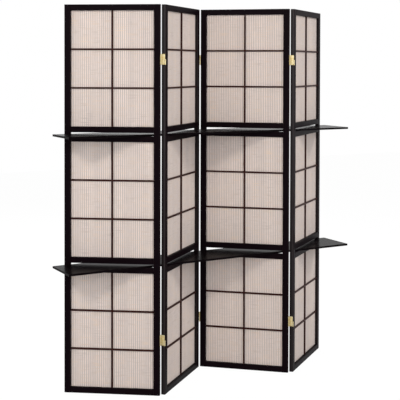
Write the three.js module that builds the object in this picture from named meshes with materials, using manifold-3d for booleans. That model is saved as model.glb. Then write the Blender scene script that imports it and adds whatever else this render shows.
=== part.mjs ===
// A folding screen of four framed panels that stand in a zig-zag, with two shelf boards threaded
// through slots in the panels. A panel is two mortised stiles and three sashes, and a sash is two
// rails with a lattice between them, in front of a stretched sheet of cloth. Brass two-way hinges
// join the panels. Millimetres, +Z up, +X along the shelves, +Y to the back of the screen.

import * as THREE from 'three';
import { mergeVertices } from 'three/addons/utils/BufferGeometryUtils.js';
import Module from 'manifold-3d';

const wasm = await Module();
wasm.setup();

// Panel frame
const panelHeight = 1784;
const panelWidth = 444;
const frameThickness = 19;
const stileWidth = 29.3;
const topRailHeight = 27.5;
const middleRailHeight = 26.5;
const bottomRailHeight = 26.5;
const slotHeight = 16;
const windowNames = ['lower', 'middle', 'upper'];
const stileEdgeRadius = 5;
const easedEdgeRadius = 1.2;

// Frame joints
const tenonLength = 14;
const tenonThickness = 7;
const tenonBelowGroove = 0.7;
const seatGap = 0.3;

// Lattice and cloth
const latticeBarWidth = 8;
const latticeBarDepth = 7;
const latticeEdgeEase = 0.8;
const panesAcross = 2;
const panesHigh = 3;
const clothThickness = 1;
const clothSetback = 13.8;
const clothTongue = 4;

// Two-way hinges
const hingeHeight = 48;
const hingeFromEnd = 250;
const leafThickness = 0.9;
const knuckleRadius = 2.2;
const hingePinRadius = 1;
const pinCapRadius = 1.7;
const pinCapHeight = 0.8;
const pinStandoff = 2.2;
const pinProud = 0.6;
const screwHeadRadius = 2.8;
const screwShankRadius = 1.4;
const screwLength = 14;
const screwTipLength = 3;
const screwFromCentre = 14;
const screwAccessMargin = 0.7;

// Shelf boards
const shelfLength = 1524;
const shelfThickness = 9.5;
const shelfEdgeRadius = 1;
const shelfSideClearance = 1.5;
const shelfLeftShift = 32.5;

// Angle in degrees between each panel and the shelves, from left to right
const foldAngles = [35.1, 40.3, 42.2, 37];

// Facets of round things
const stileEdgeSegments = 3;
const easedEdgeSegments = 1;
const knuckleSides = 10;
const pinSides = 8;
const screwSides = 8;

// Sizes that follow from the ones above
const windowCount = windowNames.length;
const slotPitch = middleRailHeight * 2 + slotHeight;
const framedHeight = panelHeight - topRailHeight - bottomRailHeight;
const windowHeight = (framedHeight - slotPitch * (windowCount - 1)) / windowCount;
const openingLeft = stileWidth;
const openingRight = panelWidth - stileWidth;
const latticeBack = clothSetback - seatGap;
const latticeFront = latticeBack - latticeBarDepth;
const grooveFront = clothSetback - seatGap;
const grooveBack = clothSetback + clothThickness + seatGap;
const grooveDepth = clothTongue + seatGap;
const tenonShoulder = grooveDepth + tenonBelowGroove;
const tenonFront = (frameThickness - tenonThickness) / 2;
const tenonBack = tenonFront + tenonThickness;
const barrelRelief = knuckleRadius + seatGap - pinProud;

const darkWood = new THREE.MeshStandardMaterial({ color: 0x1f1416, roughness: 0.42, metalness: 0 });
const boardWood = new THREE.MeshStandardMaterial({ color: 0x17100f, roughness: 0.25, metalness: 0 });
const brass = new THREE.MeshStandardMaterial({ color: 0xc9a95a, roughness: 0.3, metalness: 1 });
const cloth = new THREE.MeshStandardMaterial({ color: 0xd6cac0, roughness: 0.95, metalness: 0 });

// Joining and cutting closed geometries
function toSolid(geometry) {
  const bare = geometry.clone();
  bare.deleteAttribute('normal');
  bare.deleteAttribute('uv');
  const merged = mergeVertices(bare);
  return new wasm.Manifold(new wasm.Mesh({
    numProp: 3,
    vertProperties: new Float32Array(merged.attributes.position.array),
    triVerts: new Uint32Array(merged.index.array),
  }));
}

function toGeometry(solid) {
  const mesh = solid.getMesh();
  const geometry = new THREE.BufferGeometry();
  geometry.setAttribute('position', new THREE.BufferAttribute(new Float32Array(mesh.vertProperties), 3));
  geometry.setIndex(new THREE.BufferAttribute(new Uint32Array(mesh.triVerts), 1));
  geometry.computeVertexNormals();
  return geometry;
}

// One geometry from pieces that are fused, minus others that are cut away
function carve(fused, cut = []) {
  let solid = toSolid(fused[0]);
  for (const piece of fused.slice(1)) {
    solid = solid.add(toSolid(piece));
  }
  for (const piece of cut) {
    solid = solid.subtract(toSolid(piece));
  }
  return toGeometry(solid);
}

// A block between two values on each axis
function block([x0, x1], [y0, y1], [z0, z1]) {
  const geometry = new THREE.BoxGeometry(Math.abs(x1 - x0), y1 - y0, z1 - z0);
  geometry.translate((x0 + x1) / 2, (y0 + y1) / 2, (z0 + z1) / 2);
  return geometry;
}

// A rectangle whose corners have radii r1 to r4, anticlockwise from its lowest corner
function roundedSection([a0, a1], [b0, b1], [r1, r2, r3, r4]) {
  const shape = new THREE.Shape();
  shape.absarc(a0 + r1, b0 + r1, r1, Math.PI, Math.PI * 1.5);
  shape.absarc(a1 - r2, b0 + r2, r2, Math.PI * 1.5, Math.PI * 2);
  shape.absarc(a1 - r3, b1 - r3, r3, 0, Math.PI * 0.5);
  shape.absarc(a0 + r4, b1 - r4, r4, Math.PI * 0.5, Math.PI);
  return shape;
}

// A section drawn in Y and Z, drawn out along X from x0 to x1
function alongX(section, [x0, x1], curveSegments) {
  const geometry = new THREE.ExtrudeGeometry(section, {
    depth: x1 - x0, bevelEnabled: false, curveSegments,
  });
  const turn = new THREE.Matrix4().makeBasis(
    new THREE.Vector3(0, 1, 0), new THREE.Vector3(0, 0, 1), new THREE.Vector3(1, 0, 0),
  );
  geometry.applyMatrix4(turn);
  geometry.translate(x0, 0, 0);
  return geometry;
}

// An upright cylinder about (x, y), from z0 to z1
function post(x, y, radius, [z0, z1], sides) {
  const geometry = new THREE.CylinderGeometry(radius, radius, z1 - z0, sides);
  geometry.rotateX(Math.PI / 2);
  geometry.translate(x, y, (z0 + z1) / 2);
  return geometry;
}

// Low and high edges of each window, from the floor up
function windowSpans() {
  const spans = [];
  for (let index = 0; index < windowCount; index += 1) {
    const low = bottomRailHeight + (windowHeight + slotPitch) * index;
    spans.push([low, low + windowHeight]);
  }
  return spans;
}

// Low and high edges of the rail below a window and of the rail above it
function railSpans(window) {
  const [low, high] = windowSpans()[window];
  const below = window === 0 ? bottomRailHeight : middleRailHeight;
  const above = window === windowCount - 1 ? topRailHeight : middleRailHeight;
  return [[low - below, low], [high, high + above]];
}

// Height of the floor of a shelf slot, counted from the bottom
function slotFloor(slot) {
  return railSpans(slot)[1][1];
}

// A rail with eased long edges and a tenon at each end
function railPieces([low, high]) {
  const ease = easedEdgeRadius;
  const section = roundedSection([0, frameThickness], [low, high], [ease, ease, ease, ease]);
  const body = alongX(section, [openingLeft + seatGap, openingRight - seatGap], easedEdgeSegments);
  const tenon = block(
    [openingLeft - tenonLength, openingRight + tenonLength],
    [tenonFront, tenonBack],
    [low + tenonShoulder, high - tenonShoulder],
  );
  return [body, tenon];
}

// The crossing bars of one window
function latticeBars([low, high]) {
  const halfBar = latticeBarWidth / 2;
  const depth = [latticeFront, latticeBack];
  const eases = [latticeEdgeEase, latticeEdgeEase, latticeEdgeEase, latticeEdgeEase];
  const bars = [];
  for (let join = 1; join < panesAcross; join += 1) {
    const x = openingLeft + (openingRight - openingLeft) * join / panesAcross;
    const bar = new THREE.ExtrudeGeometry(roundedSection([x - halfBar, x + halfBar], depth, eases), {
      depth: high - low + tenonShoulder * 2, bevelEnabled: false, curveSegments: 1,
    });
    bar.translate(0, 0, low - tenonShoulder);
    bars.push(bar);
  }
  for (let join = 1; join < panesHigh; join += 1) {
    const z = low + (high - low) * join / panesHigh;
    const section = roundedSection(depth, [z - halfBar, z + halfBar], eases);
    bars.push(alongX(section, [openingLeft + seatGap, openingRight - seatGap], 1));
  }
  return bars;
}

// The two rails of a window and the lattice between them, with the groove for the cloth
function sashGeometry(window) {
  const span = windowSpans()[window];
  const groove = block(
    [0, panelWidth], [grooveFront, grooveBack], [span[0] - grooveDepth, span[1] + grooveDepth],
  );
  return carve([...railSpans(window).flatMap(railPieces), ...latticeBars(span)], [groove]);
}

// The hinges of a hinge line, with the height of each one's middle
const hingeLevels = [
  { level: 'lower', height: hingeFromEnd },
  { level: 'upper', height: panelHeight - hingeFromEnd },
];

// A full-height stile, rounded along the outer edge of its front. edge is 0 for the left stile and
// 1 for the right one.
function stileGeometry(edge, hinged) {
  const outer = stileEdgeRadius;
  const inner = easedEdgeRadius;
  const span = edge === 0 ? [0, stileWidth] : [openingRight, panelWidth];
  const radii = edge === 0 ? [outer, inner, inner, inner] : [inner, outer, inner, inner];
  const body = new THREE.ExtrudeGeometry(roundedSection(span, [0, frameThickness], radii), {
    depth: panelHeight, bevelEnabled: false, curveSegments: stileEdgeSegments,
  });
  const cuts = [];
  const innerFace = edge === 0 ? openingLeft : openingRight;
  const inward = edge === 0 ? 1 : -1;
  const mortiseSpan = [innerFace - inward * (tenonLength + seatGap), innerFace + inward * tenonLength];
  mortiseSpan.sort((a, b) => a - b);
  for (const [low, high] of windowNames.flatMap((name, window) => railSpans(window))) {
    cuts.push(block(
      mortiseSpan,
      [tenonFront - seatGap, tenonBack + seatGap],
      [low + tenonShoulder - seatGap, high - tenonShoulder + seatGap],
    ));
  }
  const grooveSpan = [innerFace - grooveDepth, innerFace + grooveDepth];
  for (const [low, high] of windowSpans()) {
    cuts.push(block(grooveSpan, [grooveFront, grooveBack], [low - grooveDepth, high + grooveDepth]));
  }
  if (hinged) {
    const outerFace = edge === 0 ? 0 : panelWidth;
    for (const { height } of hingeLevels) {
      cuts.push(...screws(outerFace, -inward, height, seatGap));
    }
  }
  return carve([body], cuts);
}

// The sheet of one window, whose edges reach into the grooves
function clothSheet(window) {
  const [low, high] = windowSpans()[window];
  return block(
    [openingLeft - clothTongue, openingRight + clothTongue],
    [clothSetback, clothSetback + clothThickness],
    [low - clothTongue, high + clothTongue],
  );
}

// Hinge parts are laid out on a panel's edge. out is how far a point stands from the edge, and
// across is its distance from the face that the inner pin is on. edge is 0 for the panel's left
// edge and 1 for its right edge.
function edgeFrame(edge, pinAtBack) {
  const side = edge === 0 ? -1 : 1;
  const face = edge === 0 ? 0 : panelWidth;
  return {
    x: (out) => face + side * out,
    y: (across) => (pinAtBack ? frameThickness - across : across),
  };
}

// A flat plate on an edge, between two distances out, two across and two heights
function plate(frame, [out0, out1], [across0, across1], heights) {
  const xs = [frame.x(out0), frame.x(out1)].sort((a, b) => a - b);
  const ys = [frame.y(across0), frame.y(across1)].sort((a, b) => a - b);
  return block(xs, ys, heights);
}

const innerPin = { out: pinStandoff, across: -pinProud };
const outerPin = { out: pinStandoff, across: frameThickness + pinProud };
const leafLayer = [seatGap, seatGap + leafThickness];
const linkLayer = [leafLayer[1] + seatGap, leafLayer[1] + seatGap + leafThickness];
const plateAcross = [barrelRelief, frameThickness - barrelRelief];

// The barrel's zones around a hinge's centre height: its upper half, and thirds of its lower half
function barrelZones(height) {
  const half = hingeHeight / 2;
  const third = half / 3;
  const trim = seatGap / 2;
  const zones = { upper: [height + trim, height + half - trim], thirds: [] };
  for (let index = 0; index < 3; index += 1) {
    const low = height - half + third * index;
    zones.thirds.push([low + trim, low + third - trim]);
  }
  return zones;
}

// Knuckles round a pin, with the strip that joins each one to its plate
function knuckles(frame, pin, layer, zones) {
  const nearPlate = pin.across < 0 ? plateAcross[0] : plateAcross[1];
  const reach = [pin.across, nearPlate + Math.sign(nearPlate - pin.across) * leafThickness];
  const pieces = [];
  for (const zone of zones) {
    pieces.push(post(frame.x(pin.out), frame.y(pin.across), knuckleRadius, zone, knuckleSides));
    pieces.push(plate(frame, layer, reach.sort((a, b) => a - b), zone));
  }
  return pieces;
}

// The bore for a pin through a whole hinge
function pinBore(frame, pin, height) {
  const span = [height - hingeHeight, height + hingeHeight];
  return post(frame.x(pin.out), frame.y(pin.across), hingePinRadius + seatGap, span, knuckleSides);
}

// A countersunk screw, or with a margin the hole that it fills, pointing along side from face
function screwBody(face, side, z, margin) {
  const top = leafLayer[1] + margin;
  const under = leafLayer[0] - margin;
  const tip = leafLayer[0] - screwLength - margin;
  const profile = [
    [0, tip],
    [screwShankRadius + margin, tip + screwTipLength],
    [screwShankRadius + margin, under],
    [screwHeadRadius + margin, top],
    [0, top],
  ];
  const geometry = new THREE.LatheGeometry(profile.map(([r, out]) => new THREE.Vector2(r, out)), screwSides);
  geometry.rotateZ(-side * Math.PI / 2);
  geometry.translate(face, frameThickness / 2, z);
  return geometry;
}

// The two screws of a leaf, or their holes
function screws(face, side, height, margin) {
  return [height - screwFromCentre, height + screwFromCentre].map((z) => screwBody(face, side, z, margin));
}

// A leaf with its screws, on a panel's edge: its knuckles are on one pin, in the zones given
function leafGeometry(edge, pinAtBack, height, pin, zones) {
  const frame = edgeFrame(edge, pinAtBack);
  const half = hingeHeight / 2;
  const body = plate(frame, leafLayer, plateAcross, [height - half, height + half]);
  const rolled = knuckles(frame, pin, leafLayer, zones);
  const fastened = screws(frame.x(0), edge === 0 ? -1 : 1, height, 0);
  return carve([body, ...rolled, ...fastened], [pinBore(frame, pin, height)]);
}

// The leaf that turns on the inner pin
function firstLeaf(pinAtBack, height) {
  const zones = barrelZones(height);
  return leafGeometry(1, pinAtBack, height, innerPin, [zones.upper, zones.thirds[1]]);
}

// The leaf on the next panel, whose knuckles are on the outer pin
function secondLeaf(pinAtBack, height) {
  const zones = barrelZones(height);
  return leafGeometry(0, pinAtBack, height, outerPin, [zones.thirds[0], zones.thirds[2]]);
}

// The link plate with the outer pin in it. It turns on the inner pin when the screen folds one way
// and on the outer pin when it folds the other way. A hole over the lower screw lets a driver in.
function linkPlate(pinAtBack, height) {
  const frame = edgeFrame(0, pinAtBack);
  const zones = barrelZones(height);
  const body = plate(frame, linkLayer, plateAcross, [zones.thirds[0][0], zones.thirds[2][1]]);
  const inner = knuckles(frame, innerPin, linkLayer, [zones.thirds[0], zones.thirds[2]]);
  const outer = knuckles(frame, outerPin, linkLayer, [zones.thirds[1]]);
  const fixedPin = hingePin(frame, outerPin, [height - hingeHeight / 2, height]);
  const accessRadius = screwHeadRadius + screwAccessMargin;
  const access = new THREE.CylinderGeometry(accessRadius, accessRadius, hingeHeight, screwSides);
  access.rotateZ(Math.PI / 2);
  access.translate(frame.x(pinStandoff), frameThickness / 2, height - screwFromCentre);
  return carve([body, ...inner, ...outer, fixedPin], [pinBore(frame, innerPin, height), access]);
}

// A pin with a low cap on each end, through a barrel that stands from z0 to z1
function hingePin(frame, pin, [z0, z1]) {
  const low = z0 - seatGap;
  const high = z1 + seatGap;
  const profile = [
    [0, low - pinCapHeight],
    [pinCapRadius, low - pinCapHeight / 2],
    [pinCapRadius, low],
    [hingePinRadius, low],
    [hingePinRadius, high],
    [pinCapRadius, high],
    [pinCapRadius, high + pinCapHeight / 2],
    [0, high + pinCapHeight],
  ];
  const geometry = new THREE.LatheGeometry(profile.map(([r, z]) => new THREE.Vector2(r, z)), pinSides);
  geometry.rotateX(Math.PI / 2);
  geometry.translate(frame.x(pin.out), frame.y(pin.across), 0);
  return geometry;
}

// Where each panel stands, seen from above: the front left corner of its frame and its turn.
// Panels meet at hinge pins, which are on the front faces in the middle and on the back faces
// at the two hinge lines beside it.
function panelPlacements() {
  const turns = foldAngles.map((angle, index) => THREE.MathUtils.degToRad(index % 2 === 0 ? -angle : angle));
  const along = turns.map((turn) => new THREE.Vector2(Math.cos(turn), Math.sin(turn)));
  const back = turns.map((turn) => new THREE.Vector2(-Math.sin(turn), Math.cos(turn)));
  const middlePin = new THREE.Vector2(0, 0);
  const backDepth = frameThickness + pinProud;
  const step = (start, index, distance, depth) => start.clone()
    .addScaledVector(along[index], distance)
    .addScaledVector(back[index], depth);
  const corners = [];
  corners[1] = step(middlePin, 1, -pinStandoff - panelWidth, pinProud);
  corners[2] = step(middlePin, 2, pinStandoff, pinProud);
  const leftPin = step(corners[1], 1, -pinStandoff, backDepth);
  const rightPin = step(corners[2], 2, panelWidth + pinStandoff, backDepth);
  corners[0] = step(leftPin, 0, -pinStandoff - panelWidth, -backDepth);
  corners[3] = step(rightPin, 3, pinStandoff, -backDepth);
  return corners.map((corner, index) => ({
    corner,
    turn: turns[index],
    pointAt: (distance, depth) => step(corner, index, distance, depth),
  }));
}

// The depth that the shelf boards have between the stiles in front of them and those behind them
function shelfDepthSpan(placements) {
  const nearStileBacks = placements.map((placement, index) => {
    const distance = index % 2 === 0 ? openingRight : openingLeft;
    return placement.pointAt(distance, frameThickness).y;
  });
  const farStileFronts = placements.map((placement, index) => {
    const distance = index % 2 === 0 ? openingLeft : openingRight;
    return placement.pointAt(distance, 0).y;
  });
  return [
    Math.max(...nearStileBacks) + shelfSideClearance,
    Math.min(...farStileFronts) - shelfSideClearance,
  ];
}

const screen = new THREE.Group();

function addPiece(parent, name, geometry, material) {
  const mesh = new THREE.Mesh(geometry, material);
  mesh.name = name;
  parent.add(mesh);
}

// Hinge lines from left to right. The inner pins are at the back of the screen where two panels
// come forward, and at its front where they go back.
const hingeLines = [
  { line: 'left', pinAtBack: true },
  { line: 'middle', pinAtBack: false },
  { line: 'right', pinAtBack: true },
];

// The hinge parts on a panel's left edge, which carries the pins, and on its right edge
function addHingeParts(group, index) {
  for (const { level, height } of hingeLevels) {
    if (index > 0) {
      const { line, pinAtBack } = hingeLines[index - 1];
      const name = `${line}_${level}_hinge`;
      const pinSpan = [height - hingeHeight / 2, height + hingeHeight / 2];
      addPiece(group, `${name}_second_leaf`, secondLeaf(pinAtBack, height), brass);
      addPiece(group, `${name}_link_plate`, linkPlate(pinAtBack, height), brass);
      addPiece(group, `${name}_pin`, hingePin(edgeFrame(0, pinAtBack), innerPin, pinSpan), brass);
    }
    if (index < hingeLines.length) {
      const { line, pinAtBack } = hingeLines[index];
      addPiece(group, `${line}_${level}_hinge_first_leaf`, firstLeaf(pinAtBack, height), brass);
    }
  }
}

function buildPanel(index, placement) {
  const group = new THREE.Group();
  const name = `panel_${index + 1}`;
  addPiece(group, `${name}_left_stile`, stileGeometry(0, index > 0), darkWood);
  addPiece(group, `${name}_right_stile`, stileGeometry(1, index < hingeLines.length), darkWood);
  windowNames.forEach((window, place) => {
    addPiece(group, `${name}_${window}_sash`, sashGeometry(place), darkWood);
    addPiece(group, `${name}_${window}_cloth`, clothSheet(place), cloth);
  });
  addHingeParts(group, index);
  group.position.set(placement.corner.x, placement.corner.y, 0);
  group.rotation.z = placement.turn;
  return group;
}

// A board that rests on the rails below a slot
function buildShelf(slot, placements) {
  const [front, back] = shelfDepthSpan(placements);
  const low = slotFloor(slot) + seatGap;
  const ease = shelfEdgeRadius;
  const section = roundedSection([front, back], [low, low + shelfThickness], [ease, ease, ease, ease]);
  const half = shelfLength / 2;
  return alongX(section, [-half - shelfLeftShift, half - shelfLeftShift], easedEdgeSegments);
}

const placements = panelPlacements();
placements.forEach((placement, index) => screen.add(buildPanel(index, placement)));
addPiece(screen, 'lower_shelf', buildShelf(0, placements), boardWood);
addPiece(screen, 'upper_shelf', buildShelf(1, placements), boardWood);

// The screen is set down with the middle of its outline over the origin
screen.updateMatrixWorld(true);
const outline = new THREE.Box3().setFromObject(screen, true);
screen.position.x = -(outline.min.x + outline.max.x) / 2;
screen.position.y = -(outline.min.y + outline.max.y) / 2;
screen.updateMatrixWorld(true);

export default screen;
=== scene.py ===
"""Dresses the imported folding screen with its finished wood, cloth and brass, and sets the view.

Each panel is made in its own flat frame: x runs along its width from the left edge, y goes back
from its front face, and z stands up from the floor. A placement then stands it in the zig-zag.
"""

import logging
import math
from dataclasses import dataclass
from enum import Enum

import bmesh
import bpy
from mathutils import Matrix, Vector


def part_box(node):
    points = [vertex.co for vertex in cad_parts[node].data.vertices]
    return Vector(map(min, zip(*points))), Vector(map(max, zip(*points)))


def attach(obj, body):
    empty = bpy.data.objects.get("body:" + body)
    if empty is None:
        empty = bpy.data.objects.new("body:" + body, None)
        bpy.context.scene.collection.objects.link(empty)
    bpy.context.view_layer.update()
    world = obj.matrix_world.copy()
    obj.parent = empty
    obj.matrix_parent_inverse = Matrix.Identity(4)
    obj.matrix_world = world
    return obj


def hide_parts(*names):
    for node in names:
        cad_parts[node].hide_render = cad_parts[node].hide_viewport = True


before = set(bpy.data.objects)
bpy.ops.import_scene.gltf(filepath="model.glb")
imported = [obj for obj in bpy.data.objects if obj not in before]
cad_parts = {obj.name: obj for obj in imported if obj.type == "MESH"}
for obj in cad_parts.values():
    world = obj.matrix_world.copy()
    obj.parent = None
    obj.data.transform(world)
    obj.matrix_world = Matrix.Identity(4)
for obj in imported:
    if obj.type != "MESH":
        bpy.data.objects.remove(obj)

LOG = logging.getLogger("folding_screen")
MM = 0.001
FLAT_WIDTH = 2.0 * MM  # wider faces of a stick are flat, narrower ones are in its rounded edges
SHARP_ANGLE = math.radians(38)
NO_LENGTH = 1e-9  # a shorter edge has no direction
NO_NORMAL = 1e-6  # shorter normals cancel out
# Faces of a stile turned to the left take a glossier, lighter copy of the lacquer: a painted sheen
# for the light those faces catch.
FACES_LEFT = -0.6  # a face of a stile with less than this along x takes the side finish
END_GRAIN = 0.2  # how much of its width the pattern keeps on the end of a stick
END_EASE = 0.7  # how far the ends of a board are eased, to the radius of its edges
SURFACE = "grain"  # surface coordinates in metres: along and round a stick, across and up a cloth
# The share of the lighter edge colour on a vertex: partly thinner stain and wear, partly a painted
# highlight on rounded edges.
EDGE_WEAR_AND_SHEEN = "edge_wear_and_sheen"  # how worn a vertex is, from 0 to 1

Socket = bpy.types.NodeSocket
Vert = bmesh.types.BMVert
Material = bpy.types.Material
Piece = bpy.types.Object
Colour = tuple[float, float, float]
Place = tuple[float, float, float]
Point = tuple[float, float]
Span = tuple[float, float]


class Side(Enum):
    """The two upright edges of a panel."""

    LEFT = "left"
    RIGHT = "right"


class Window(Enum):
    """The windows of a panel, from the floor up."""

    LOWER = "lower"
    MIDDLE = "middle"
    UPPER = "upper"


class Level(Enum):
    """The two hinges of a hinge line."""

    LOWER = "lower"
    UPPER = "upper"


class HingeLine(Enum):
    """The hinge lines from left to right."""

    LEFT = "left"
    MIDDLE = "middle"
    RIGHT = "right"


class Flank(Enum):
    """The sides of a section whose places are called a and b, in walking order."""

    LOW_B = 0
    HIGH_A = 1
    HIGH_B = 2
    LOW_A = 3


class Grain(Enum):
    """The way that a stick is drawn out or a round part is turned."""

    ALONG_X = "x"
    UPRIGHT = "z"

    def lay(self, a: float, b: float, along: float) -> Place:
        """Turns two places in a section and one along it into a point."""
        return (along, a, b) if self is Grain.ALONG_X else (a, b, along)


def linear(colour: Colour) -> Colour:
    """Turns screen values, from 0 to 255, into the light values that the shaders take."""
    shares = [value / 255 for value in colour]
    return tuple(
        share / 12.92 if share <= 0.04045 else ((share + 0.055) / 1.055) ** 2.4 for share in shares)


@dataclass(frozen=True)
class Pattern:
    """A noise pattern: its units to a metre in both surface coordinates, and its finer layers."""

    first: float
    second: float
    detail: float = 3.0


class NodeMaker:
    """Adds nodes to a tree and links them. Values are sockets of other nodes or plain values."""

    def __init__(self, tree: bpy.types.NodeTree) -> None:
        """Takes the tree that the nodes go into."""
        self.tree = tree

    def put(self, value: object, socket: Socket) -> None:
        """Gives a socket its value.

        Args:
            value: The value.
            socket: The socket that takes it.
        """
        if isinstance(value, Socket):
            self.tree.links.new(value, socket)
        else:
            socket.default_value = value

    def add(self, kind: str, output: str, inputs: dict[str | int, object] | None = None,
            **settings: object) -> Socket:
        """Adds a node.

        Args:
            kind: Its type, without the ShaderNode in front.
            output: The name of the output that is wanted.
            inputs: Names or numbers of its inputs, with their values.
            settings: Its properties.

        Returns:
            The output.
        """
        node = self.tree.nodes.new("ShaderNode" + kind)
        for key, value in settings.items():
            setattr(node, key, value)
        for key, value in (inputs or {}).items():
            self.put(value, node.inputs[key])
        return node.outputs[output]

    def math(self, operation: str, *values: object) -> Socket:
        """Combines values by a sum, a product or another operation."""
        return self.add("Math", "Value", dict(enumerate(values)), operation=operation)

    def sum(self, first: object, second: object) -> Socket:
        """Adds two values."""
        return self.math("ADD", first, second)

    def times(self, first: object, second: object) -> Socket:
        """Multiplies two values."""
        return self.math("MULTIPLY", first, second)

    def spread(self, value: Socket, low: float, high: float, of: Span = (0.0, 1.0)) -> Socket:
        """Maps a value of one range onto the range from low to high."""
        ends = {"From Min": of[0], "From Max": of[1], "To Min": low, "To Max": high}
        return self.add("MapRange", "Result", {"Value": value, **ends})

    def blend(self, share: Socket, first: Socket, second: Socket) -> Socket:
        """Mixes two colours, with this share of the second one."""
        colours = {"Factor": share, "A": first, "B": second}
        return self.add("Mix", "Result", colours, data_type="RGBA")

    def ramp(self, value: Socket, places: Span, *colours: Colour) -> Socket:
        """Turns a value into a colour.

        Args:
            value: The value.
            places: The two values where a colour is pure.
            colours: The screen values of those colours.

        Returns:
            The colour.
        """
        made = self.add("ValToRGB", "Color", {"Fac": value})
        for element, place, colour in zip(made.node.color_ramp.elements, places, colours):
            element.position = place
            element.color = (*linear(colour), 1.0)
        return made

    def surface(self) -> Socket:
        """Gives the surface coordinates of the piece."""
        return self.add("UVMap", "UV", uv_map=SURFACE)

    def noise(self, pattern: Pattern) -> Socket:
        """Draws a noise pattern on the surface.

        Args:
            pattern: The pattern.

        Returns:
            Its values, from 0 to 1.
        """
        scale = (pattern.first, pattern.second, 1.0)
        where = self.add("Mapping", "Vector", {"Vector": self.surface(), "Scale": scale})
        inputs = {"Vector": where, "Scale": 1.0, "Detail": pattern.detail}
        return self.add("TexNoise", "Fac", inputs)

    def seen(self) -> Socket:
        """Tells rays of the camera, in reflections and through clear things from the others.

        Returns:
            1 for such a ray and 0 for another.
        """
        camera = self.add("LightPath", "Is Camera Ray")
        rays = camera.node.outputs
        seen = self.math("MAXIMUM", camera, rays["Is Glossy Ray"])
        return self.math("MAXIMUM", seen, rays["Is Transmission Ray"])


class MaterialMaker(NodeMaker):
    """A new material with its principled shader."""

    def __init__(self, name: str) -> None:
        """Starts a material.

        Args:
            name: The material's name.
        """
        self.material = bpy.data.materials.new(name)
        self.material.use_nodes = True
        super().__init__(self.material.node_tree)
        self.shader = self.tree.nodes["Principled BSDF"]

    def feed(self, **values: object) -> None:
        """Gives the shader's own sockets, named with underscores for spaces, their values."""
        for key, value in values.items():
            self.put(value, self.shader.inputs[key.replace("_", " ").title().replace("Ior", "IOR")])

    def bump(self, height: Socket, depth: float, strength: float) -> None:
        """Raises the surface: 1 stands for the depth, and strength is how much of it shows."""
        pattern = {"Height": height, "Distance": depth, "Strength": strength}
        self.feed(normal=self.add("Bump", "Normal", pattern))


@dataclass(frozen=True)
class LacquerFinish:
    """Stained wood under lacquer: faint grain along each stick, and a lighter, warmer colour on
    rounded edges, partly thinner stain and wear, partly a painted highlight.
    """

    name: str
    stain: Colour
    dark_grain: Colour
    edge_stain_and_sheen: Colour
    edge_share: float
    roughness: Span
    shine: float
    pores: Pattern = Pattern(14.0, 520.0, 4.0)
    figure: Pattern = Pattern(3.0, 60.0)
    edge_tint_patches: Pattern = Pattern(34.0, 34.0, 4.0)
    haze: Pattern = Pattern(9.0, 9.0, 5.0)
    light_pores: Span = (0.32, 0.62)
    dark_pores: Span = (0.25, 0.85)
    edge_pores: Span = (0.3, 0.6)
    figure_share: Span = (-0.4, 1.4)
    figure_relief: Span = (0.6, 1.2)
    edge_tint_range: Span = (0.35, 1.15)
    pore_depth: float = 0.08 * MM
    pore_strength: float = 0.35

    def material(self) -> Material:
        """Builds the finish.

        Returns:
            The material.
        """
        make = MaterialMaker(self.name)
        pores, figure = make.noise(self.pores), make.noise(self.figure)
        wood = make.blend(
            make.spread(figure, *self.figure_share),
            make.ramp(pores, self.light_pores, self.dark_grain, self.stain),
            make.ramp(pores, self.dark_pores, self.stain, self.dark_grain),
        )
        # Rounded edges take a lighter, warmer colour in patches: partly thinner stain and wear,
        # partly a painted highlight.
        wear_and_sheen = make.add("Attribute", "Fac", attribute_name=EDGE_WEAR_AND_SHEEN)
        patchy = make.spread(make.noise(self.edge_tint_patches), *self.edge_tint_range)
        edge = make.ramp(pores, self.edge_pores, self.stain, self.edge_stain_and_sheen)
        edge_colour_share = make.times(make.times(wear_and_sheen, patchy), self.edge_share)
        make.feed(
            base_color=make.blend(edge_colour_share, wood, edge),
            roughness=make.spread(make.noise(self.haze), *self.roughness),
            specular_ior_level=self.shine,
        )
        relief = make.times(pores, make.spread(figure, *self.figure_relief))
        make.bump(relief, self.pore_depth, self.pore_strength)
        return make.material


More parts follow.
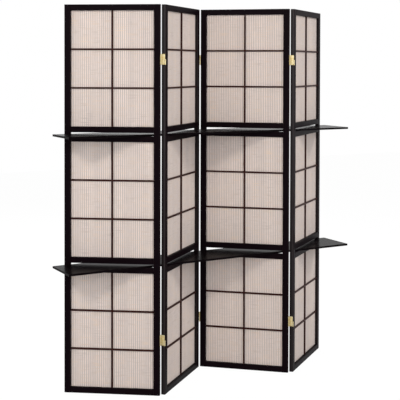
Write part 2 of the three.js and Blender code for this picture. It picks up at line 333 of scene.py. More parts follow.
@dataclass(frozen=True)
class RibbedClothFinish:
    """Matt cloth with fine upright ribs, wider stripes of warm and grey, partly the yarn's tone and
    partly painted shading of the ribs, and cross slubs.
    """

    name: str = "ribbed_cloth"
    warm: Colour = (240, 224, 213)
    grey: Colour = (178, 166, 163)
    slub: Colour = (228, 202, 176)
    stripe_period: float = 8.8 * MM
    rib_period: float = 2.2 * MM
    wander: Pattern = Pattern(60.0, 1.2, 2.0)
    swing: Pattern = Pattern(24.0, 0.8)
    threads: Pattern = Pattern(900.0, 26.0)
    cross: Pattern = Pattern(18.0, 210.0)
    patches: Pattern = Pattern(13.0, 13.0, 2.0)
    wander_range: Span = (-0.6, 0.6)
    swing_range: Span = (0.4, 1.3)
    stripe_tone: float = 0.7
    thread_tone: Span = (-0.1, 0.45)
    ground_tones: Span = (0.12, 0.88)
    slub_tones: Span = (0.3, 0.75)
    slub_range: Span = (0.3, 1.0)
    slub_share: Span = (-0.6, 1.6)
    rib_height: float = 0.3
    thread_height: float = 0.8
    slub_height: float = 0.4
    relief_depth: float = 0.3 * MM
    relief_strength: float = 0.45

    def material(self) -> Material:
        """Builds the finish.

        Returns:
            The material.
        """
        make = MaterialMaker(self.name)
        threads, cross = make.noise(self.threads), make.noise(self.cross)
        yarn = make.add("SeparateXYZ", "X", {"Vector": make.surface()})
        wander = make.spread(make.noise(self.wander), *self.wander_range)
        # The warm and grey stripes are partly the yarn's tone and partly painted rib shading: the
        # light and shade that the ribs' relief would give.
        wave = make.math("SINE", make.sum(make.times(yarn, math.tau / self.stripe_period), wander))
        swing = make.spread(make.noise(self.swing), *self.swing_range)
        stripes = make.times(make.spread(wave, 0.0, 1.0, (-1.0, 1.0)), swing)
        yarns = make.spread(threads, *self.thread_tone)
        tone = make.sum(make.times(stripes, self.stripe_tone), yarns)
        ground = make.ramp(tone, self.ground_tones, self.grey, self.warm)
        slubs = make.spread(cross, *self.slub_share, self.slub_range)
        tint = make.ramp(make.noise(self.patches), self.slub_tones, self.slub, self.grey)
        make.feed(base_color=make.blend(slubs, ground, tint),
                  roughness=0.92, sheen_weight=0.12, sheen_roughness=0.6, ior=1.35)
        rib = make.math("SINE", make.times(yarn, math.tau / self.rib_period))
        height = make.sum(make.times(rib, self.rib_height), make.times(threads, self.thread_height))
        relief = make.sum(height, make.times(cross, self.slub_height))
        make.bump(relief, self.relief_depth, self.relief_strength)
        return make.material


@dataclass(frozen=True)
class BrassFinish:
    """Polished brass plate with faint rolling marks and a light tarnish."""

    name: str = "polished_brass"
    bright: Colour = (204, 196, 164)
    tarnish: Colour = (194, 170, 112)
    bright_roughness: float = 0.44
    tarnish_roughness: float = 0.58
    patches: Pattern = Pattern(130.0, 130.0, 4.0)
    patch_tones: Span = (0.35, 0.6)
    marks: Pattern = Pattern(90.0, 4200.0)
    mark_depth: float = 0.03 * MM
    mark_strength: float = 0.25

    def material(self) -> Material:
        """Builds the finish.

        Returns:
            The material.
        """
        make = MaterialMaker(self.name)
        patches = make.noise(self.patches)
        make.feed(
            base_color=make.ramp(patches, self.patch_tones, self.tarnish, self.bright),
            roughness=make.spread(patches, self.tarnish_roughness, self.bright_roughness),
            metallic=1.0,
        )
        make.bump(make.noise(self.marks), self.mark_depth, self.mark_strength)
        return make.material


@dataclass(frozen=True)
class Groove:
    """A groove in one side of a stick's section."""

    side: Flank
    span: Span
    depth: float

    def points(self, low: Point, high: Point) -> list[Point]:
        """Gives its four corners in walking order.

        Args:
            low: The section's lowest corner.
            high: Its highest corner.

        Returns:
            The corners.
        """
        start, stop = self.span if self.side in (Flank.LOW_B, Flank.HIGH_A) else self.span[::-1]
        upright = self.side in (Flank.HIGH_A, Flank.LOW_A)
        far = self.side in (Flank.HIGH_A, Flank.HIGH_B)
        edge = (high if far else low)[0 if upright else 1]
        floor = edge - self.depth if far else edge + self.depth
        walk = [(edge, start), (floor, start), (floor, stop), (edge, stop)]
        return walk if upright else [(a, b) for b, a in walk]


@dataclass(frozen=True)
class Section:
    """A stick's section: a rectangle with rounded corners, and perhaps a groove."""

    low: Point
    high: Point
    radii: tuple[float, ...]
    steps: tuple[int, ...] = (3, 3, 3, 3)
    groove: Groove | None = None

    def points(self) -> list[Place]:
        """Walks round the section anticlockwise from its lowest corner.

        Returns:
            Points as their two places and their share of the lighter edge colour, which is partly
            wear and partly painted highlight.
        """
        (a0, b0), (a1, b1) = self.low, self.high
        corners = [(a0, b0, 1, 1), (a1, b0, -1, 1), (a1, b1, -1, -1), (a0, b1, 1, -1)]
        walk: list[Place] = []
        for index, (a, b, inward_a, inward_b) in enumerate(corners):
            radius, steps = self.radii[index], self.steps[index]
            for step in range(steps + 1):
                angle = math.pi + (index + step / steps) * math.pi / 2
                # The third value is highest mid-way round a corner. It is the share of the lighter
                # edge colour, partly wear and partly painted highlight.
                walk.append((
                    a + inward_a * radius + radius * math.cos(angle),
                    b + inward_b * radius + radius * math.sin(angle),
                    math.sin(math.pi * (step + 0.5) / (steps + 1)),
                ))
            if self.groove is not None and self.groove.side.value == index:
                walk += [(*point, 0.0) for point in self.groove.points(self.low, self.high)]
        return walk


class Joinery:
    """Collects the bodies of one piece, and makes them into an object."""

    def __init__(self) -> None:
        """Starts with nothing."""
        self.mesh = bmesh.new()
        self.surface = self.mesh.loops.layers.uv.new(SURFACE)
        self.wear_and_sheen = self.mesh.verts.layers.float.new(EDGE_WEAR_AND_SHEEN)

    def face(self, verts: list[Vert], places: list[Point], smooth: bool = True,
              finish: int = 0) -> None:
        """Adds a face.

        Args:
            verts: Its corners.
            places: Their surface coordinates.
            smooth: Whether it is shaded smooth.
            finish: Which of the piece's finishes it takes.
        """
        face = self.mesh.faces.new(verts)
        face.smooth = smooth
        face.material_index = finish
        for corner, place in zip(face.loops, places):
            corner[self.surface].uv = place

    def stick(self, section: Section, way: Grain, span: Span, ease: float = 0.0,
              finish: int = 0) -> None:
        """Draws a section out into a closed stick.

        Args:
            section: Its section, in y and z or in x and y.
            way: The way it is drawn out.
            span: Where it starts and stops.
            ease: How far its ends are eased.
            finish: Which of the piece's finishes it takes.
        """
        outline = section.points()
        (start, stop), count = span, len(outline)
        rings = [(start, outline), (stop, outline)]
        if ease > 0:
            tucked = self._tuck(outline, ease)
            rings = [(start, tucked), (start + ease, outline),
                     (stop - ease, outline), (stop, tucked)]
        made = []
        for along, points in rings:
            ring = [self.mesh.verts.new(way.lay(a, b, along)) for a, b, _ in points]
            for vert, point in zip(ring, points):
                vert[self.wear_and_sheen] = point[2]
            made.append(ring)
        first, last = rings[0][1], rings[-1][1]
        girth = [0.0]
        for here, there in zip(last, last[1:] + last[:1]):
            girth.append(girth[-1] + math.dist(here[:2], there[:2]))
        for (start, _), (stop, _), lower, upper in zip(rings, rings[1:], made, made[1:]):
            for index, (near, far) in enumerate(zip(girth, girth[1:])):
                after = (index + 1) % count
                loop = [lower[index], lower[after], upper[after], upper[index]]
                places = [(start, near), (start, far), (stop, far), (stop, near)]
                self.face(loop, places, far - near < FLAT_WIDTH, finish)
        for ring, points in ((made[0][::-1], first[::-1]), (made[-1], last)):
            self.face(ring, [(a * END_GRAIN, b) for a, b, _ in points], False, finish)

    def board(self, low: Place, high: Place, ease: float) -> None:
        """Makes a plate or block from its lowest to its highest corner, with eased edges."""
        section = Section(low[:2], high[:2], (ease,) * 4, (2,) * 4)
        self.stick(section, Grain.UPRIGHT, (low[2], high[2]), ease * END_EASE)

    def turned(self, profile: list[Point], centre: Place, axis: Grain, sides: int,
               facing: int = 1) -> None:
        """Turns a profile round an axis. It starts and ends on the axis, or closes on itself.

        Args:
            profile: Radius and distance along the axis of each point.
            centre: The point that distances are counted from.
            axis: The way the axis runs.
            sides: How many sides the round has.
            facing: 1 where distances count along the axis and -1 where they count against it.
        """
        rings: list[list[Vert]] = []
        for radius, distance in profile:
            steps = sides if radius > 0 else 1
            ring = []
            for angle in (math.tau * step / sides for step in range(steps)):
                a, b = radius * math.cos(angle), radius * math.sin(angle)
                offset = axis.lay(a, b, distance * facing)
                ring.append(self.mesh.verts.new([sum(pair) for pair in zip(offset, centre)]))
            rings.append(ring * (sides // steps))
        runs = [0.0]
        for here, there in zip(profile, profile[1:]):
            runs.append(runs[-1] + math.dist(here, there))
        pairs = [(index, index + 1) for index in range(len(rings) - 1)]
        if profile[0][0] > 0:
            pairs.append((len(rings) - 1, 0))
        for here, there in pairs:
            around = math.tau * max(profile[here][0], profile[there][0]) / sides
            for step in range(sides):
                after = (step + 1) % sides
                corners = {rings[here][step]: here, rings[here][after]: here,
                           rings[there][after]: there, rings[there][step]: there}
                loop = list(corners)[::facing]
                self.face(loop, [(around * step, runs[corners[vert]]) for vert in loop])

    @staticmethod
    def _tuck(outline: list[Place], ease: float) -> list[Place]:
        """Moves an outline in by the same distance all round.

        Args:
            outline: The section's points.
            ease: The distance.

        Returns:
            The smaller outline, which takes the full edge colour.
        """
        tucked = []
        for index, here in enumerate(outline):
            before, after = outline[index - 1], outline[(index + 1) % len(outline)]
            normal = Vector((0.0, 0.0))
            for one, two in ((before, here), (here, after)):
                edge = Vector((two[0] - one[0], two[1] - one[1]))
                if edge.length > NO_LENGTH:
                    normal += Vector((edge.y, -edge.x)).normalized()
            inset = normal.normalized() * ease if normal.length > NO_NORMAL else normal
            tucked.append((here[0] - inset.x, here[1] - inset.y, 1.0))
        return tucked

    def piece(self, node: str, kind: str, body: str, slot: str, place: Matrix,
              *finishes: Material) -> Piece:
        """Makes the object, stands it in its place and lets it stand for its node.

        Args:
            node: The node that it stands for. Its own name starts with it.
            kind: The end of its name.
            body: The body that it moves with.
            slot: The name of the material slot of its finish; it is not used.
            place: The placement of the frame that it was made in.
            finishes: Its materials.

        Returns:
            The object.
        """
        data = bpy.data.meshes.new(f"{node}_{kind}")
        bmesh.ops.transform(self.mesh, matrix=place, verts=self.mesh.verts)
        smooth = [face.smooth for face in self.mesh.faces]
        self.mesh.to_mesh(data)
        self.mesh.free()
        data.set_sharp_from_angle(angle=SHARP_ANGLE)
        data.polygons.foreach_set("use_smooth", smooth)
        for finish in finishes:
            data.materials.append(finish)
        made = put_in_scene(data)
        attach(made, body)
        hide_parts(node)
        return made


def put_in_scene(data: bpy.types.ID) -> Piece:
    """Makes an object of a mesh, lamp or camera, under the same name.

    Args:
        data: The mesh, lamp or camera.

    Returns:
        The object.
    """
    made = bpy.data.objects.new(data.name, data)
    bpy.context.scene.collection.objects.link(made)
    return made


@dataclass(frozen=True)
class PanelSizes:
    """The sizes that all panels share."""

    height: float = 1784 * MM
    width: float = 444 * MM
    thickness: float = 19 * MM
    stile: float = 29.3 * MM
    top_rail: float = 27.5 * MM
    middle_rail: float = 26.5 * MM
    bottom_rail: float = 26.5 * MM
    slot: float = 16 * MM
    stile_radius: float = 5 * MM
    stile_steps: int = 7
    end_ease: float = 0.5 * MM
    plug_radius: float = 0.01 * MM
    eased_radius: float = 1.2 * MM
    eased_steps: int = 3
    seat_gap: float = 0.3 * MM
    bar_width: float = 8 * MM
    bar_depth: float = 7 * MM
    bar_lap: float = 0.15 * MM
    bar_tenon: float = 2 * MM
    bar_front_ease: float = 0.9 * MM
    bar_back_ease: float = 0.3 * MM
    panes_across: int = 2
    panes_high: int = 3
    cloth_setback: float = 13.8 * MM
    cloth_thickness: float = 1 * MM
    cloth_tongue: float = 4 * MM
    cloth_weave: float = 0.6 * MM
    cloth_columns: int = 48
    cloth_rows: int = 66
    cloth_seeds: Point = (3.1, 5.7)
    # Millimetres of slack: in the whole window, in each pane, and in ripples
    cloth_slack: tuple[float, ...] = (0.12, 0.18, 0.1)
    cloth_ripples: tuple[Point, ...] = ((9.0, 4.0), (5.0, -7.0))

    @property
    def window_height(self) -> float:
        """The height of each window."""
        between = (2 * self.middle_rail + self.slot) * (len(Window) - 1)
        return (self.height - self.top_rail - self.bottom_rail - between) / len(Window)

    @property
    def window_pitch(self) -> float:
        """The distance from each window to the next."""
        return self.window_height + 2 * self.middle_rail + self.slot

    @property
    def opening(self) -> Span:
        """Where the windows start and stop across the panel."""
        return self.stile, self.width - self.stile

    def groove(self, side: Flank) -> Groove:
        """Gives the cloth's groove in this side of a stick."""
        gap, front, tongue = self.seat_gap, self.cloth_setback, self.cloth_tongue
        return Groove(side, (front - gap, front + self.cloth_thickness + gap), tongue + gap)

    def window_span(self, window: Window) -> Span:
        """Gives the low and high edges of a window, from the floor."""
        low = self.bottom_rail + self.window_pitch * list(Window).index(window)
        return low, low + self.window_height


@dataclass(frozen=True)
class HingeSizes:
    """The sizes of a two-way hinge."""

    height: float = 48 * MM
    from_end: float = 250 * MM
    leaf: float = 0.9 * MM
    plate_ease: float = 0.25 * MM
    knuckle_radius: float = 2.2 * MM
    knuckle_root: float = 0.4 * MM
    pin_radius: float = 1 * MM
    cap_radius: float = 1.7 * MM
    cap_height: float = 0.8 * MM
    cap_dome: tuple[Point, ...] = ((0.0, 1.0), (0.55, 0.92), (0.9, 0.6), (1.0, 0.2))
    standoff: float = 2.2 * MM
    proud: float = 0.6 * MM
    screw_head: float = 2.8 * MM
    screw_from_centre: float = 14 * MM
    screw_sides: int = 24
    # Shares of the head's radius, each with its height over the leaf
    screw_dome: tuple[Point, ...] = (
        (0.0, -1.2 * MM), (0.6, -1.2 * MM), (1.0, -0.1 * MM), (0.97, 0.12 * MM), (0.8, 0.2 * MM),
        (0.0, 0.26 * MM))
    cross_arm: float = 0.6
    cross_half_width: float = 0.11
    cross_ease: float = 0.03 * MM
    cross_span: Span = (0.05 * MM, 0.31 * MM)
    access_margin: float = 0.7 * MM
    hole_steps: int = 6
    sides: int = 28


@dataclass(frozen=True)
class ZigZag:
    """The fold of the screen: the angle between each panel and the shelves, from left to right."""

    panel: PanelSizes
    hinge: HingeSizes
    angles: tuple[float, ...] = (35.1, 40.3, 42.2, 37.0)

    def placements(self) -> list[Matrix]:
        """Stands the panels round the middle hinge line.

        Returns:
            The placement of each panel.
        """
        low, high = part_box("middle_upper_hinge_pin")
        middle = ((low + high) / 2).to_2d()
        turns = [math.radians(angle if index % 2 else -angle)
                 for index, angle in enumerate(self.angles)]
        reach, out = self.hinge.standoff, self.hinge.proud
        width, deep = self.panel.width, self.panel.thickness + out

        def step(start: Vector, index: int, along: float, depth: float) -> Vector:
            """Goes from a point along a panel and back from its front."""
            sine, cosine = math.sin(turns[index]), math.cos(turns[index])
            return start + Vector((cosine, sine)) * along + Vector((-sine, cosine)) * depth

        second = step(middle, 1, -reach - width, out)
        third = step(middle, 2, reach, out)
        left_pin = step(second, 1, -reach, deep)
        right_pin = step(third, 2, width + reach, deep)
        first = step(left_pin, 0, -reach - width, -deep)
        fourth = step(right_pin, 3, reach, -deep)
        return [Matrix.Translation(corner.to_3d()) @ Matrix.Rotation(turn, 4, "Z")
                for corner, turn in zip((first, second, third, fourth), turns)]


@dataclass(frozen=True)
class LatticePanel:
    """One panel of the screen: its stiles, its three sashes and their cloth."""

    number: int
    placement: Matrix
    sizes: PanelSizes
    frame_finish: Material
    painted_sheen_finish: Material
    lattice_finish: Material
    cloth_finish: Material

    @property
    def name(self) -> str:
        """The panel's name, which is also its body's."""
        return f"panel_{self.number}"

    def build(self) -> list[Piece]:
        """Builds the panel's pieces.

        Returns:
            The pieces.
        """
        pieces = [self._stile(side) for side in Side]
        for window in Window:
            pieces += [self._sash(window), self._cloth(window)]
        return pieces

    def _stile(self, side: Side) -> Piece:
        """Builds a stile, well rounded along the outer edge of its front, with the cloth's groove.

        Args:
            side: Which edge of the panel it stands on.

        Returns:
            The piece.
        """
        sizes = self.sizes
        radii, steps = [sizes.eased_radius] * 4, [sizes.eased_steps] * 4
        if side is Side.LEFT:
            outer, groove = 0, sizes.groove(Flank.HIGH_A)
            start, stop = 0.0, sizes.stile
            plug = (stop - groove.depth, stop)
        else:
            outer, groove = 1, sizes.groove(Flank.LOW_A)
            start, stop = sizes.width - sizes.stile, sizes.width
            plug = (start, start + groove.depth)
        radii[outer], steps[outer] = sizes.stile_radius, sizes.stile_steps
        section = Section((start, 0.0), (stop, sizes.thickness), tuple(radii), tuple(steps), groove)
        joinery = Joinery()
        joinery.stick(section, Grain.UPRIGHT, (0.0, sizes.height), sizes.end_ease)
        # The groove is open only beside the windows
        stops = [sizes.end_ease]
        for window in Window:
            low, high = sizes.window_span(window)
            stops += [low - groove.depth, high + groove.depth]
        stops.append(sizes.height - sizes.end_ease)
        front, back = groove.span
        plain = Section((plug[0], front), (plug[1], back), (sizes.plug_radius,) * 4, (1,) * 4)
        for span in zip(stops[::2], stops[1::2]):
            joinery.stick(plain, Grain.UPRIGHT, span)
        # Faces turned to the left take the painted sheen finish, which stands in for the light they
        # catch.
        for face in joinery.mesh.faces:
            face.normal_update()
            if face.normal.x < FACES_LEFT:
                face.material_index = 1
        return joinery.piece(f"{self.name}_{side.value}_stile", "wood", self.name, "frame_wood",
                             self.placement, self.frame_finish, self.painted_sheen_finish)

    def _sash(self, window: Window) -> Piece:
        """Builds the two rails of a window and the lattice between them.

        Args:
            window: The window.

        Returns:
            The piece.
        """
        sizes = self.sizes
        left, right = sizes.opening
        joinery = Joinery()
        across = (left + sizes.seat_gap, right - sizes.seat_gap)
        low, high = sizes.window_span(window)
        below = low - (sizes.bottom_rail if window is Window.LOWER else sizes.middle_rail)
        above = high + (sizes.top_rail if window is Window.UPPER else sizes.middle_rail)
        for start, stop, side in ((below, low, Flank.HIGH_B), (high, above, Flank.LOW_B)):
            section = Section((0.0, start), (sizes.thickness, stop), (sizes.eased_radius,) * 4,
                              groove=sizes.groove(side))
            joinery.stick(section, Grain.ALONG_X, across)
        back = sizes.cloth_setback - sizes.seat_gap
        front = back - sizes.bar_depth
        half, tenon = sizes.bar_width / 2, sizes.bar_tenon
        fore, rear = sizes.bar_front_ease, sizes.bar_back_ease
        for join in range(1, sizes.panes_across):
            x = left + (right - left) * join / sizes.panes_across
            section = Section((x - half, front - sizes.bar_lap), (x + half, back),
                              (fore, fore, rear, rear), (3, 3, 1, 1))
            joinery.stick(section, Grain.UPRIGHT, (low - tenon, high + tenon), finish=1)
        for join in range(1, sizes.panes_high):
            z = low + (high - low) * join / sizes.panes_high
            section = Section((front, z - half), (back, z + half),
                              (fore, rear, rear, fore), (3, 1, 1, 3))
            joinery.stick(section, Grain.ALONG_X, across, finish=1)
        return joinery.piece(f"{self.name}_{window.value}_sash", "wood", self.name, "frame_wood",
                             self.placement, self.frame_finish, self.lattice_finish)

    def _cloth(self, window: Window) -> Piece:
        """Stretches the cloth of a window between its grooves, slack by a hair in each pane.

        Args:
            window: The window.

        Returns:
            The piece.
        """
        sizes = self.sizes
        low, high = sizes.window_span(window)
        left, right = sizes.opening
        tongue, columns, rows = sizes.cloth_tongue, sizes.cloth_columns, sizes.cloth_rows
        width, height = right - left + 2 * tongue, high - low + 2 * tongue
        depth = sizes.cloth_setback + (sizes.cloth_thickness - sizes.cloth_weave) / 2
        first, second = sizes.cloth_seeds
        seed = Vector((self.number * first, list(Window).index(window) * second))
        joinery, grid = Joinery(), []
        for z in (low - tongue + height * row / rows for row in range(rows + 1)):
            xs = [left - tongue + width * column / columns for column in range(columns + 1)]
            up = (z - low) / sizes.window_height
            ys = [depth + self._slack((x - left) / (right - left), up, seed) for x in xs]
            grid.append([joinery.mesh.verts.new((x, y, z)) for x, y in zip(xs, ys)])
        for lower, upper in zip(grid, grid[1:]):
            for index in range(columns):
                loop = [lower[index], lower[index + 1], upper[index + 1], upper[index]]
                joinery.face(loop, [(vert.co.x + seed.x, vert.co.z + seed.y) for vert in loop])
        made = joinery.piece(f"{self.name}_{window.value}_cloth", "sheet", self.name, "cloth",
                             self.placement, self.cloth_finish)
        weave = made.modifiers.new("cloth_thickness", "SOLIDIFY")
        weave.thickness = sizes.cloth_weave
        weave.offset = -1.0
        return made

    def _slack(self, across: float, up: float, seed: Vector) -> float:
        """Says how far the cloth lies back from its flat place.

        Args:
            across: The place across the window, from 0 to 1 inside it.
            up: The place up the window, from 0 to 1 inside it.
            seed: A number pair that is different for each sheet.

        Returns:
            The distance, at most about half a millimetre.
        """
        if not (0.0 < across < 1.0 and 0.0 < up < 1.0):
            return 0.0
        sizes = self.sizes
        belly = math.sin(math.pi * across) * math.sin(math.pi * up)
        pane = abs(math.sin(math.pi * across * sizes.panes_across)
                   * math.sin(math.pi * up * sizes.panes_high))
        ripple = math.prod(math.sin(a * across + b * up + start)
                           for (a, b), start in zip(sizes.cloth_ripples, seed))
        whole, each, fine = sizes.cloth_slack
        return (whole * belly + each * pane + fine * pane * ripple) * MM


@dataclass
class HingePart(Joinery):
    """A part of a hinge, made on an upright edge of a panel.

    Places across the edge are counted from the face with the inner pin.
    """

    sizes: HingeSizes
    panel: PanelSizes
    middle: float
    pin_at_back: bool
    side: Side
    plates_under: int

    def __post_init__(self) -> None:
        """Starts with nothing."""
        super().__init__()

    @property
    def edges(self) -> Span:
        """The two edges of its plates, which leave room for the knuckles."""
        relief = self.sizes.knuckle_radius + self.panel.seat_gap - self.sizes.proud
        return relief, self.panel.thickness - relief

    @property
    def _layer(self) -> Span:
        """How far the two faces of its plates stand out from the edge."""
        gap, leaf = self.panel.seat_gap, self.sizes.leaf
        return gap + (gap + leaf) * self.plates_under, (gap + leaf) * (self.plates_under + 1)

    def _x(self, out: float) -> float:
        """Gives the place across the panel that stands out from the edge."""
        return -out if self.side is Side.LEFT else self.panel.width + out

    def _y(self, across: float) -> float:
        """Gives the depth of a place across the edge."""
        return self.panel.thickness - across if self.pin_at_back else across

    def _round(self, pin: float, profile: list[Point]) -> None:
        """Turns a profile round a pin's axis."""
        centre = (self._x(self.sizes.standoff), self._y(pin), 0.0)
        self.turned(profile, centre, Grain.UPRIGHT, self.sizes.sides)

    def plate(self, across: Span, heights: Span) -> None:
        """Adds a flat plate between two places across the edge and two heights."""
        xs, ys = sorted(map(self._x, self._layer)), sorted(map(self._y, across))
        self.board(*zip(xs, ys, heights), self.sizes.plate_ease)

    def knuckles(self, pin: float, zones: list[Span], bored: bool = True) -> None:
        """Rolls the knuckles round a pin and joins them to their plate.

        Args:
            pin: The pin's place.
            zones: The knuckles' low and high ends.
            bored: Whether a pin runs through them.
        """
        sizes = self.sizes
        near = self.edges[0] if pin < 0 else self.edges[1]
        bore = sizes.pin_radius + self.panel.seat_gap if bored else 0.0
        stub = (pin + math.copysign(bore + sizes.knuckle_root, near - pin),
                near + math.copysign(sizes.leaf, near - pin))
        radius, ease = sizes.knuckle_radius, sizes.plate_ease
        for low, high in zones:
            self._round(pin, [(bore, low), (radius - ease, low), (radius, low + ease),
                              (radius, high - ease), (radius - ease, high), (bore, high)])
            self.plate(stub, (low, high))

    def screws(self) -> None:
        """Sets two countersunk screws in a leaf."""
        sizes, face, y = self.sizes, self._layer[1], self.panel.thickness / 2
        rim = sizes.screw_head
        dome = [(rim * share, height) for share, height in sizes.screw_dome]
        arm, half_width = rim * sizes.cross_arm, rim * sizes.cross_half_width
        near, far = sorted(self._x(face + place) for place in sizes.cross_span)
        for z in (self.middle - sizes.screw_from_centre, self.middle + sizes.screw_from_centre):
            self.turned(dome, (self._x(face), y, z), Grain.ALONG_X, sizes.screw_sides,
                        -1 if self.side is Side.LEFT else 1)
            for tall, wide in ((arm, half_width), (half_width, arm)):
                self.board((near, y - wide, z - tall), (far, y + wide, z + tall), sizes.cross_ease)

    def round_hole(self, depth: float, height: float, radius: float) -> None:
        """Fills the corners of a square hole, so that it is round.

        Args:
            depth: The hole's distance from the front face.
            height: Its height.
            radius: Its radius.
        """
        steps, count = self.sizes.hole_steps, self.sizes.hole_steps + 2
        turns = [math.pi / 2 * step / steps for step in range(steps + 1)]
        faces = sorted(map(self._x, self._layer))
        for back in (-radius, radius):
            for up in (-radius, radius):
                outline = [(depth + back, height + up)]
                outline += [(depth + back * math.cos(turn), height + up * math.sin(turn))
                            for turn in turns]
                if back * up < 0:
                    outline.reverse()
                near, far = [[self.mesh.verts.new((x, y, z)) for y, z in outline] for x in faces]
                for index in range(count):
                    after = (index + 1) % count
                    self.face([near[index], near[after], far[after], far[index]], [], False)
                self.face(near[::-1], [], False)
                self.face(far, [], False)

    def pin(self, pin: float, span: Span) -> None:
        """Adds a pin with a low domed cap on each end.

        Args:
            pin: The pin's place.
            span: The barrel's low and high ends.
        """
        sizes, gap = self.sizes, self.panel.seat_gap
        low, high = span[0] - gap, span[1] + gap
        cap, thin = sizes.cap_radius, sizes.pin_radius
        dome = [(cap * share, sizes.cap_height * rise) for share, rise in sizes.cap_dome]
        profile = [(radius, low - rise) for radius, rise in dome]
        profile += [(cap, low), (thin, low), (thin, high), (cap, high)]
        profile += [(radius, high + rise) for radius, rise in reversed(dome)]
        self._round(pin, profile)


@dataclass(frozen=True)
class TwoWayHinge:
    """A brass hinge that lets two panels fold either way: a leaf on each, and a link between."""

    line: HingeLine
    level: Level
    first: LatticePanel
    second: LatticePanel
    sizes: HingeSizes
    finish: Material

    @property
    def _middle(self) -> float:
        """The height of its middle."""
        from_end = self.sizes.from_end
        return from_end if self.level is Level.LOWER else self.first.sizes.height - from_end

    @property
    def _span(self) -> Span:
        """Its low and high ends."""
        return self._middle - self.sizes.height / 2, self._middle + self.sizes.height / 2

    @property
    def _pins(self) -> Span:
        """The places of the inner and the outer pin across the panel's edge."""
        return -self.sizes.proud, self.first.sizes.thickness + self.sizes.proud

    @property
    def _zones(self) -> list[Span]:
        """The low and high ends of the barrel's knuckles: thirds below its middle, one above it."""
        trim, (low, high) = self.first.sizes.seat_gap / 2, self._span
        stops = [low + (self._middle - low) * share for share in (0, 1 / 3, 2 / 3, 1)] + [high]
        return [(start + trim, stop - trim) for start, stop in zip(stops, stops[1:])]

    def build(self) -> list[Piece]:
        """Builds both leaves, the link plate and the pin.

        Returns:
            The pieces.
        """
        (inner, outer), zones, body = self._pins, self._zones, self.second.name
        leaves = []
        for side, pin, knuckles in (
                (Side.RIGHT, inner, zones[1::2]), (Side.LEFT, outer, zones[0:3:2])):
            leaf = self._part(side)
            leaf.plate(leaf.edges, self._span)
            leaf.knuckles(pin, knuckles)
            leaf.screws()
            leaves.append(leaf)
        turning = self._part()
        turning.pin(inner, self._span)
        parts = [
            ("first_leaf", leaves[0], self.first, self.first.name),
            ("second_leaf", leaves[1], self.second, body),
            ("link_plate", self._link(), self.second, body),
            ("pin", turning, self.second, "hinge_core" if self.line is HingeLine.MIDDLE else body),
        ]
        name = f"{self.line.value}_{self.level.value}_hinge"
        return [part.piece(f"{name}_{kind}", "brass", moves_with, "brass",
                           panel.placement, self.finish)
                for kind, part, panel, moves_with in parts]

    def _part(self, side: Side = Side.LEFT, plates_under: int = 0) -> HingePart:
        """Starts a part on a panel's edge, over this number of plates."""
        at_back = self.line is not HingeLine.MIDDLE
        return HingePart(self.sizes, self.first.sizes, self._middle, at_back, side, plates_under)

    def _link(self) -> HingePart:
        """Builds the link plate, with a screwdriver hole and with the outer pin fixed in it.

        Returns:
            The link plate.
        """
        sizes, zones, link = self.sizes, self._zones, self._part(plates_under=1)
        (near, far), (inner, outer) = link.edges, self._pins
        hole = sizes.screw_head + sizes.access_margin
        depth, height = self.first.sizes.thickness / 2, self._middle - sizes.screw_from_centre
        low, high = zones[0][0], zones[2][1]
        for span in ((low, height - hole), (height + hole, high)):
            link.plate((near, far), span)
        for span in ((near, depth - hole), (depth + hole, far)):
            link.plate(span, (low, high))
        link.round_hole(depth, height, hole)
        link.knuckles(inner, zones[0:3:2])
        link.knuckles(outer, zones[1:2], bored=False)
        link.pin(outer, (self._span[0], self._middle))
        return link


@dataclass(frozen=True)
class ShelfBoard:
    """A long board that rests in the slots of all the panels."""

    node: str
    finish: Material
    edge_radius: float = 1.0 * MM
    end_ease: float = 0.8 * MM

    def build(self) -> Piece:
        """Builds the board where its node is.

        Returns:
            The piece.
        """
        low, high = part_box(self.node)
        section = Section((low.y, low.z), (high.y, high.z), (self.edge_radius,) * 4, (4,) * 4)
        joinery = Joinery()
        joinery.stick(section, Grain.ALONG_X, (low.x, high.x), self.end_ease)
        return joinery.piece(self.node, "board", self.node, "shelf_wood",
                             Matrix.Identity(4), self.finish)


@dataclass(frozen=True)
class SoftLamp:
    """A soft square lamp that points at the middle of the screen."""

    name: str
    place: Place
    size: float
    power: float
    colour: Colour = (0.961, 0.976, 1.0)
    target: Place = (0.0, 0.0, 1.05)

    def build(self) -> None:
        """Hangs the lamp."""
        light = bpy.data.lights.new(self.name, "AREA")
        light.shape = "SQUARE"
        light.size = self.size
        light.energy = self.power
        light.color = self.colour
        lamp = put_in_scene(light)
        lamp.location = self.place
        aim = Vector(self.target) - Vector(self.place)
        lamp.rotation_euler = aim.to_track_quat("-Z", "Y").to_euler()


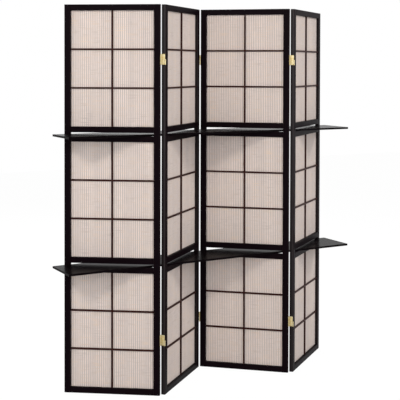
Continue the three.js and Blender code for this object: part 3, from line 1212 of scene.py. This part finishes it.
@dataclass(frozen=True)
class Studio:
    """The pale floor, the soft lamps and the white surroundings."""

    floor_half: float = 9.0
    floor_drop: float = 0.5 * MM
    floor_colour: Colour = (0.4, 0.4, 0.4)
    floor_roughness: float = 0.9
    floor_glow_share: float = 0.9
    glow: float = 1.08
    ambient: float = 0.2
    key_colour: Colour = (1.0, 0.962, 0.9)

    def build(self) -> None:
        """Builds the floor, the world and the lamps."""
        self._floor()
        self._world()
        for lamp in (
                SoftLamp("left_key", (-3.39, -2.65, 3.3), 0.7, 60.0, self.key_colour),
                SoftLamp("right_key", (3.2, -2.7, 3.8), 0.7, 57.0, self.key_colour),
                SoftLamp("front_fill", (-1.11, -4.15, 1.5), 2.6, 86.0),
                SoftLamp("left_fill", (-4.15, -1.11, 2.0), 2.6, 38.0),
                SoftLamp("right_fill", (3.0, -3.0, 1.8), 2.6, 37.0),
                SoftLamp("back", (0.6, 3.2, 3.8), 2.2, 170.0)):
            lamp.build()

    def _floor(self) -> None:
        """Lays a pale floor that looks white to the camera and keeps a soft shadow."""
        half = self.floor_half
        corners = [(-half, -half, 0), (half, -half, 0), (half, half, 0), (-half, half, 0)]
        data = bpy.data.meshes.new("studio_floor")
        data.from_pydata(corners, [], [(0, 1, 2, 3)])
        floor = put_in_scene(data)
        make = MaterialMaker("pale_floor")
        make.feed(base_color=(*self.floor_colour, 1.0), roughness=self.floor_roughness)
        glow = make.add("Emission", "Emission", {"Strength": self.glow})
        share = make.times(make.seen(), self.floor_glow_share)
        matt = make.shader.outputs["BSDF"]
        mix = make.add("MixShader", "Shader", {"Fac": share, 1: matt, 2: glow})
        make.put(mix, make.tree.nodes["Material Output"].inputs["Surface"])
        data.materials.append(make.material)
        floor.location.z = -self.floor_drop

    def _world(self) -> None:
        """Makes surroundings that look white, also in reflections, but light the screen softly."""
        world = bpy.data.worlds.new("studio_world")
        bpy.context.scene.world = world
        world.use_nodes = True
        make = NodeMaker(world.node_tree)
        make.tree.nodes.clear()
        plain = {"Color": (1.0, 1.0, 1.0, 1.0)}
        soft = make.add("Background", "Background", {**plain, "Strength": self.ambient})
        white = make.add("Background", "Background", plain)
        mix = make.add("MixShader", "Shader", {"Fac": make.seen(), 1: soft, 2: white})
        out = make.tree.nodes.new("ShaderNodeOutputWorld")
        make.put(mix, out.inputs["Surface"])


@dataclass(frozen=True)
class ProductView:
    """The camera that sees the screen as the photograph does."""

    place: Place = (-2.2844, -4.0024, 1.5035)
    heading: float = 29.1975
    pitch_down: float = 1.1582
    roll: float = 0.1435
    lens: float = 85.8329
    sensor_width: float = 36.0
    shift_y: float = -0.2864
    sees_to: float = 60.0

    def build(self) -> None:
        """Sets the camera up."""
        data = bpy.data.cameras.new("product_view")
        data.sensor_width = self.sensor_width
        data.lens = self.lens
        data.shift_y = self.shift_y
        data.clip_end = self.sees_to
        camera = put_in_scene(data)
        camera.matrix_world = (
            Matrix.Translation(self.place)
            @ Matrix.Rotation(math.radians(-self.heading), 4, "Z")
            @ Matrix.Rotation(math.radians(90 - self.pitch_down), 4, "X")
            @ Matrix.Rotation(math.radians(self.roll), 4, "Z")
        )
        bpy.context.scene.camera = camera


def main() -> None:
    """Builds the screen piece by piece, then the studio and the view."""
    logging.basicConfig(level=logging.INFO, format="%(message)s")
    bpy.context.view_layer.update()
    bpy.context.scene.view_settings.view_transform = "Standard"
    frame_finish = LacquerFinish(
        "espresso_lacquer", stain=(11, 4, 9), dark_grain=(7, 3, 6),
        edge_stain_and_sheen=(44, 26, 26), edge_share=0.3, roughness=(0.34, 0.46), shine=0.022)
    # A glossier, lighter copy of the frame lacquer for faces turned to the left: painted sheen.
    painted_sheen_finish = LacquerFinish(
        "espresso_painted_sheen", stain=(14, 6, 9), dark_grain=(8, 4, 6),
        edge_stain_and_sheen=(54, 32, 28), edge_share=0.3, roughness=(0.3, 0.42), shine=0.19)
    lattice_finish = LacquerFinish(
        "lattice_stain", stain=(52, 27, 24), dark_grain=(33, 16, 14),
        edge_stain_and_sheen=(70, 40, 33), edge_share=0.5, roughness=(0.42, 0.55), shine=0.07)
    shelf_finish = LacquerFinish(
        "board_lacquer", stain=(10, 6, 8), dark_grain=(7, 4, 6),
        edge_stain_and_sheen=(44, 30, 28), edge_share=0.2, roughness=(0.2, 0.28), shine=0.014)
    wood = [finish.material() for finish in (frame_finish, painted_sheen_finish, lattice_finish)]
    shelf_wood, cloth = shelf_finish.material(), RibbedClothFinish().material()
    brass = BrassFinish().material()
    sizes, hinge_sizes = PanelSizes(), HingeSizes()
    panels, pieces = [], []
    for number, placement in enumerate(ZigZag(sizes, hinge_sizes).placements(), 1):
        panels.append(LatticePanel(number, placement, sizes, *wood, cloth))
        pieces += panels[-1].build()
    for line, first, second in zip(HingeLine, panels, panels[1:]):
        for level in Level:
            pieces += TwoWayHinge(line, level, first, second, hinge_sizes, brass).build()
    for node in ("lower_shelf", "upper_shelf"):
        pieces.append(ShelfBoard(node, shelf_wood).build())
    for made in pieces:
        LOG.info("built %s", made.name)
    Studio().build()
    ProductView().build()
    bpy.context.view_layer.update()


if __name__ == "__main__":
    main()
